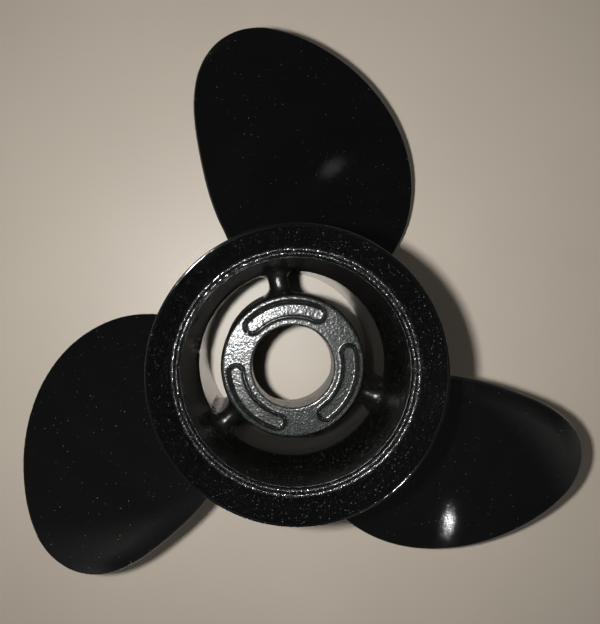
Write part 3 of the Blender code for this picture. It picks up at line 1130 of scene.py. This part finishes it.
    def paint_walls(self, piece: bpy.types.Object) -> None:
        """Give the bore the core's paint, and the outer wall its dull paint."""
        edge = self.face_height - 0.0003 - BALANCE_HEIGHT
        for face in piece.data.polygons:
            if face.center.z < edge:
                outer = math.hypot(face.center.x, face.center.y) > self.face_radius - 0.0006
                face.material_index = self.coats.index(Finish.DULL if outer else Finish.CORE)


@dataclass
class Ribs:
    """The three ribs that carry the inner hub in the barrel, each with a saddle for its crest."""

    barrel: Barrel
    hub: InnerHub
    angle: float = 99.5
    thickness: float = 0.0074
    fillet: float = 0.0036
    crest_height: float = 0.0713
    crest_fillet: float = 0.0036
    forward_height: float = 0.016
    sunk: float = 0.0008
    rows: int = 44
    nose_steps: int = 20
    side_steps: int = 18
    unevenness: tuple[float, float, float] = (0.00010, 0.00030, 0.00012)
    aft_rise: float = 0.8
    forward_rise: float = 0.5

    def spans(self) -> Rows:
        """Places between the hub and the barrel, closer together near both, as a share."""
        return 0.5 - 0.5 * np.cos(np.linspace(0.0, math.pi, self.rows + 1))

    def ring(self, share: float, fold: bool) -> Rows:
        """The rib's outline at one place between the hub and the barrel.

        Args:
            share: the place, from 0 in the hub's wall to 1 in the barrel's.
            fold: whether the ring is folded flat, to close the rib's end.

        Returns:
            The outline's points.
        """
        nose = np.linspace(0.0, math.pi, self.nose_steps + 1)
        run = np.linspace(0.0, 1.0, self.side_steps + 1)[1:-1]
        across = np.concatenate((np.cos(nose), -np.ones(len(run)), -np.cos(nose), np.ones(len(run))))
        top = np.concatenate((np.sin(nose), np.zeros(len(run)), -np.sin(nose), np.zeros(len(run))))
        level = np.concatenate((np.ones(len(nose)), 1.0 - run, np.zeros(len(nose)), run))

        middle = (self.crest_height + self.forward_height) / 2.0
        gap = self.barrel.bore_radius(middle) - self.hub.outer_radius(middle)
        along = -self.sunk + (gap + 2 * self.sunk) * share
        flare = fillet_reach(along, self.fillet) + fillet_reach(gap - along, self.fillet)
        half = self.thickness / 2.0 + flare
        rise = fillet_reach(along, self.crest_fillet) + fillet_reach(gap - along, self.crest_fillet)
        aft = self.crest_height + rise * self.aft_rise - half
        forward = self.forward_height - rise * self.forward_rise + half
        height = forward + (aft - forward) * level + top * half
        inner = self.hub.outer_radius(height)
        outer = self.barrel.bore_radius(height)
        radius = inner + (outer - inner) * (along / gap)
        turn = math.radians(self.angle) + across * half * (0.0 if fold else 1.0) / radius
        return np.stack((radius * np.cos(turn), radius * np.sin(turn), height), axis=1)

    def build(self, finishes: Finishes) -> list[bpy.types.Object]:
        """Wrap one rib, copy it round the hub, roughen each its own way and paint them.

        Args:
            finishes: the paints by their finish.

        Returns:
            The pieces.
        """
        rings = [self.ring(0.0, True)]
        rings += [self.ring(share, False) for share in self.spans()]
        rings += [self.ring(1.0, True)]
        first = sleeve("rib_casting_1", np.array(rings))
        pieces = copies_round(first, ["rib_casting_2", "rib_casting_3"])
        for index, piece in enumerate(pieces):
            self.roughen(piece, index)
            smooth(piece, 60.0)
            lay_paints(piece, finishes, (Finish.CORE,))
            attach(piece, "root")
            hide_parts(f"rib_{index + 1}")
        return pieces

    def roughen(self, piece: bpy.types.Object, index: int) -> None:
        """Leave the marks of the core in a rib's fillets."""
        points = read_points(piece)
        radius = np.hypot(points[:, 0], points[:, 1])
        low = self.hub.face_radius
        high = self.barrel.throat_radius
        share = clamp((radius - low) / (high - low))
        near_wall = 1.0 - ease(share * 3.0) + ease(share * 3.0 - 2.0)
        depth = self.unevenness[index]
        wave = roughen(points, 0.0021, depth, 11.0 + index) * (0.35 + near_wall)
        wave += roughen(points, 0.0008, depth * 0.35, 31.0 + index) * near_wall
        normals = np.zeros(len(points) * 3)
        piece.data.vertex_normals.foreach_get("vector", normals)
        write_points(piece, points + normals.reshape(-1, 3) * wave[:, None])


@dataclass
class Blades:
    """The three blades: true-pitch driving faces with a light cup and filleted roots."""

    barrel: Barrel
    tip_radius: float = 0.1315
    tip_trim: float = 0.00006
    pitch: float = 0.330
    angle: float = 80.0
    height: float = 0.0442
    root_thickness: float = 0.0074
    tip_thickness: float = 0.0026
    edge_thickness: float = 0.0016
    leading_round: float = 0.00077
    trailing_round: float = 0.00033
    root_fillet: float = 0.0048
    cup_height: float = 0.0012
    cup_width: float = 0.009
    cup_start: tuple[float, float] = (0.055, 0.040)
    cup_end: tuple[float, float] = (0.106, 0.020)
    seat_fade: float = 0.016
    sunk: float = 0.0005
    chord_steps: int = 116
    rows: int = 92
    fillet_rows: int = 14
    outline: tuple[tuple[float, float], ...] = (
        (0.366, -40.0),
        (0.531, -37.5),
        (0.679, -30.2),
        (0.808, -20.1),
        (0.909, -8.0),
        (0.977, 4.7),
        (1.015, 15.8),
        (0.957, 24.8),
        (0.820, 30.8),
        (0.647, 34.0),
        (0.502, 36.6),
        (0.436, 36.0),
    )

    def edge_line(self, samples: int = 2400) -> tuple[Rows, Rows]:
        """The outline seen along the axis, from the leading root round the tip.

        Args:
            samples: how many points it has.

        Returns:
            The radii and the angles, in radians.
        """
        control = np.array(self.outline)
        last = len(control) - 1
        knots = np.concatenate(([0.0] * 3, np.arange(last - 1), [last - 2.0] * 3))
        places = np.linspace(0.0, last - 2.0 - 1e-9, samples)
        weights = [((places >= a) & (places < b)) * 1.0 for a, b in zip(knots, knots[1:])]
        for degree in (1, 2, 3):
            raised = []
            for i in range(len(weights) - 1):
                rise = knots[i + degree] - knots[i]
                fall = knots[i + degree + 1] - knots[i + 1]
                value = np.zeros(samples)
                if rise > 0:
                    value += (places - knots[i]) / rise * weights[i]
                if fall > 0:
                    value += (knots[i + degree + 1] - places) / fall * weights[i + 1]
                raised.append(value)
            weights = raised
        curve = np.array(weights).T @ control
        radii = curve[:, 0] / curve[:, 0].max() * self.tip_radius
        return radii, np.radians(self.angle + curve[:, 1])

    def face_height(self, turn: Rows) -> Rows:
        """The height of the driving face, which has one pitch all over."""
        return self.height + self.pitch / math.tau * (turn - math.radians(self.angle))

    def section_radii(self) -> tuple[float, Rows]:
        """The root's radius and the radii of the sections, closer together where it curves."""
        root = float(self.barrel.outer_radius(self.height))
        turns = np.linspace(0.0, math.pi / 2, self.fillet_rows + 1)[:-1]
        fillet = root + self.root_fillet * (1.0 - np.cos(turns))
        start = root + self.root_fillet
        steps = np.sin(math.pi / 2 * np.linspace(0.0, 1.0, self.rows + 1))
        blade = start + (self.tip_radius - self.tip_trim - start) * steps
        return root, np.concatenate(([root - self.sunk], fillet, blade))

    @staticmethod
    def distance_to(edge: Rows, places: Rows) -> Rows:
        """How far each place is from the edge line."""
        gaps = np.linalg.norm(places[:, None] - edge[None], axis=2)
        nearest = gaps.argmin(axis=1)
        best = gaps.min(axis=1)
        for side in (-1, 1):
            other = np.clip(nearest + side, 0, len(edge) - 1)
            start = edge[nearest]
            run = edge[other] - start
            length = np.maximum((run**2).sum(axis=1), 1e-18)
            share = clamp(((places - start) * run).sum(axis=1) / length)
            best = np.minimum(best, np.linalg.norm(places - start - run * share[:, None], axis=1))
        return best

    def section(self, radius: float, root: float, fold: bool) -> Rows:
        """One section, wrapped on its cylinder.

        Args:
            radius: the cylinder's radius.
            root: the radius at which the blade leaves the barrel.
            fold: whether the section is folded flat, to close the blade's end.

        Returns:
            The points round both faces.
        """
        radii, angles = self.edge_line()
        tip = int(radii.argmax())
        held = min(radius, float(radii.max()))
        lead = np.interp(held, radii[: tip + 1], angles[: tip + 1])
        trail = np.interp(-held, -radii[tip:], angles[tip:])
        edge = np.stack((radii * np.cos(angles), radii * np.sin(angles), self.face_height(angles)), axis=1)
        share = 0.5 - 0.5 * np.cos(np.linspace(0.0, math.pi, self.chord_steps + 1))
        turn = lead + (trail - lead) * share
        face = np.stack((radius * np.cos(turn), radius * np.sin(turn), self.face_height(turn)), axis=1)
        to_edge = self.distance_to(edge, face)
        to_edge[[0, -1]] = 0.0

        out = (radius - root) / (self.tip_radius - root)
        deepest = self.root_thickness + (self.tip_thickness - self.root_thickness) * out
        thickness = self.edge_thickness + (deepest - self.edge_thickness) * 4 * share * (1 - share)
        corner = self.leading_round + (self.trailing_round - self.leading_round) * ease((share - 0.1) / 0.6)
        depth = np.minimum(to_edge, corner)
        half = thickness / 2 - corner + np.sqrt(np.maximum(corner**2 - (corner - depth) ** 2, 0.0))
        slope = math.atan(self.pitch / (math.tau * radius))
        from_trail = radius * (trail - turn) / math.cos(slope)
        cup = self.cup_height * clamp(1 - from_trail / self.cup_width) ** 2
        cup *= ease((radius - self.cup_start[0]) / self.cup_start[1])
        cup *= 1.0 - ease((radius - self.cup_end[0]) / self.cup_end[1])

        normal = np.array((-math.sin(slope), math.cos(slope)))
        drawn = np.stack((radius * turn, self.face_height(turn)), axis=1)
        middle = drawn + normal * (cup - thickness / 2)[:, None]
        offset = half[:, None] * normal
        ring = np.concatenate((middle + offset, (middle - offset)[::-1]))
        ring = ring + self.outward(ring) * fillet_reach(radius - root, self.root_fillet)
        if fold:
            ring = (ring + ring[::-1]) / 2.0
        return self.wrap(ring, radius, root)

    @staticmethod
    def outward(ring: Rows) -> Rows:
        """The outward direction at each point of an unrolled section."""
        ahead = np.roll(ring, -1, axis=0) - np.roll(ring, 1, axis=0)
        out = np.stack((-ahead[:, 1], ahead[:, 0]), axis=1)
        return out / np.maximum(np.linalg.norm(out, axis=1), 1e-12)[:, None]

    def wrap(self, ring: Rows, radius: float, root: float) -> Rows:
        """Roll an unrolled section round the axis, and seat its root on the barrel's taper."""
        turn = ring[:, 0] / radius
        seat = self.barrel.outer_radius(ring[:, 1]) - self.barrel.outer_radius(self.height)
        fade = 1.0 - float(ease((radius - root) / self.seat_fade))
        seated = radius + seat * fade
        return np.stack((seated * np.cos(turn), seated * np.sin(turn), ring[:, 1]), axis=1)

    def build(self, finishes: Finishes) -> list[bpy.types.Object]:
        """Wrap one blade through its sections, copy it round the barrel and paint them.

        Args:
            finishes: the paints by their finish.

        Returns:
            The pieces.
        """
        root, radii = self.section_radii()
        rings = [self.section(radii[0], root, True)]
        rings += [self.section(radius, root, False) for radius in radii]
        rings += [self.section(radii[-1], root, True)]
        first = sleeve("blade_casting_1", np.array(rings))
        pieces = copies_round(first, ["blade_casting_2", "blade_casting_3"])
        for index, piece in enumerate(pieces):
            smooth(piece, 50.0)
            lay_paints(piece, finishes, (Finish.BLADE,))
            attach(piece, "root")
            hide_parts(f"blade_{index + 1}")
        return pieces


@dataclass
class Studio:
    """The pale floor, the lights and the camera."""

    floor_size: float = 5.0
    floor_colour: tuple[float, float, float] = (0.53, 0.465, 0.385)
    wall_light: float = 0.075
    overhead_light: float = 0.35
    side_light: float = 0.42
    camera_place: tuple[float, float, float] = (-0.010393, 0.026008, 0.292899)
    camera_right: tuple[float, float, float] = (0.99971, 0.0, 0.0239977)
    camera_up: tuple[float, float, float] = (0.00327741, 0.99063017, -0.13653251)
    camera_back: tuple[float, float, float] = (-0.02377284, 0.13657184, 0.99034488)
    lens_mm: float = 39.652
    shift: tuple[float, float] = (0.02744, 0.13222)
    key_place: tuple[float, float, float] = (-0.038, 0.027, 0.2917)
    key_size: float = 0.012
    key_power: float = 1.05
    spot_place: tuple[float, float, float] = (-0.4525, -1.697, 1.0348)
    spot_size: float = 0.020
    spot_power: float = 0.50
    spark_place: tuple[float, float, float] = (0.93, 0.08, 0.3593)
    spark_size: float = 0.075
    spark_power: float = 0.007

    def build_floor(self) -> bpy.types.Object:
        """Lay the floor under the barrel's forward end."""
        bpy.ops.object.select_all(action="DESELECT")
        bpy.ops.mesh.primitive_plane_add(size=self.floor_size, location=(0.0, 0.0, -BALANCE_HEIGHT))
        floor = bpy.context.active_object
        floor.name = "pale_floor"
        material = bpy.data.materials.new("pale_floor_finish")
        material.use_nodes = True
        tree = Tree(material.node_tree)
        shader = material.node_tree.nodes["Principled BSDF"]
        place = tree.add("ShaderNodeTexCoord").outputs["Object"]
        cloud = tree.noise(tree.scaled(place, 14.0), detail=3.0)
        darker, lighter = [(*[value * share for value in self.floor_colour], 1.0) for share in (0.94, 1.05)]
        tree.put(shader.inputs["Base Color"], tree.blend(cloud, darker, lighter))
        shader.inputs["Roughness"].default_value = 0.45
        floor.data.materials.append(material)
        return floor

    def build_lamp(self, name: str, place: tuple, size: float, power: float) -> bpy.types.Object:
        """Hang a round lamp that faces the propeller and isn't seen itself."""
        data = bpy.data.lights.new(name, "AREA")
        data.shape = "DISK"
        data.size = size
        data.energy = power
        lamp = bpy.data.objects.new(name, data)
        bpy.context.scene.collection.objects.link(lamp)
        lamp.location = place
        lamp.rotation_mode = "QUATERNION"
        lamp.rotation_quaternion = (-Vector(place)).to_track_quat("-Z", "Y")
        lamp.visible_camera = False
        return lamp

    def build_sky(self) -> None:
        """Give the room a soft light: dim walls, and three soft panels between the blades."""
        world = bpy.data.worlds.new("studio_room")
        bpy.context.scene.world = world
        world.use_nodes = True
        tree = Tree(world.node_tree)
        back = world.node_tree.nodes["Background"]
        out = world.node_tree.nodes["World Output"]
        way = tree.add("ShaderNodeTexCoord").outputs["Generated"]
        x, y, z = tree.parts(way)
        turn = tree.math("MULTIPLY", tree.math("ARCTAN2", y, x), float(BLADE_COUNT))
        facing = tree.ramp(tree.math("COSINE", turn), -0.35, -0.95)
        low = tree.ramp(z, 0.02, 0.30)
        high = tree.ramp(z, 0.80, 0.55)
        panel = tree.math("MULTIPLY", facing, tree.math("MULTIPLY", low, high))
        wall = tree.math("MULTIPLY_ADD", x, -0.03, self.wall_light)
        overhead = tree.ramp(z, 0.82, 0.95)
        wall = tree.math("MULTIPLY", wall, tree.math("MULTIPLY_ADD", overhead, self.overhead_light - 1.0, 1.0))
        strength = tree.math("MULTIPLY_ADD", panel, self.side_light, wall)
        tree.put(back.inputs["Strength"], strength)
        back.inputs["Color"].default_value = (1.0, 0.97, 0.93, 1.0)
        seen = tree.add("ShaderNodeBackground", Color=(0.55, 0.54, 0.52, 1.0), Strength=1.0)
        path = tree.add("ShaderNodeLightPath")
        mixed = tree.add("ShaderNodeMixShader")
        tree.put(mixed.inputs[0], path.outputs["Is Camera Ray"])
        tree.put(mixed.inputs[1], back.outputs[0])
        tree.put(mixed.inputs[2], seen.outputs[0])
        tree.put(out.inputs["Surface"], mixed.outputs[0])
        bpy.context.scene.view_settings.view_transform = "Standard"

    def build_camera(self) -> bpy.types.Object:
        """Set the camera over the propeller, a little up and left of its axis."""
        data = bpy.data.cameras.new("camera")
        data.lens = self.lens_mm
        data.sensor_width = 36.0
        data.shift_x, data.shift_y = self.shift
        data.clip_start = 0.01
        data.clip_end = 20.0
        camera = bpy.data.objects.new("camera", data)
        bpy.context.scene.collection.objects.link(camera)
        turn = Matrix((self.camera_right, self.camera_up, self.camera_back)).transposed()
        camera.matrix_world = Matrix.Translation(self.camera_place) @ turn.to_4x4()
        bpy.context.scene.camera = camera
        return camera

    def build(self) -> None:
        """Set up the whole studio."""
        self.build_floor()
        self.build_sky()
        self.build_lamp("key_lamp", self.key_place, self.key_size, self.key_power)
        self.build_lamp("blade_lamp", self.spot_place, self.spot_size, self.spot_power)
        self.build_lamp("edge_lamp", self.spark_place, self.spark_size, self.spark_power)
        self.build_camera()


def report(piece: bpy.types.Object) -> None:
    """Say how big a finished piece is."""
    faces = sum(len(face.vertices) - 2 for face in piece.data.polygons)
    size = [round(1000.0 * value, 1) for value in piece.dimensions]
    LOG.info("%s: %d triangles, %s mm", piece.name, faces, size)


def main() -> None:
    """Build the propeller and the studio, and report each piece."""
    logging.basicConfig(level=logging.INFO, format="%(message)s")
    effects = Effects()
    finishes = {paint.finish: paint.build(effects) for paint in PAINTS}
    barrel = Barrel()
    hub = InnerHub()
    pieces = [barrel.build(finishes), FlaredRing(barrel).build(finishes), hub.build(finishes)]
    pieces += Ribs(barrel, hub).build(finishes)
    pieces += Blades(barrel).build(finishes)
    for piece in pieces:
        report(piece)
    Studio().build()


if __name__ == "__main__":
    main()
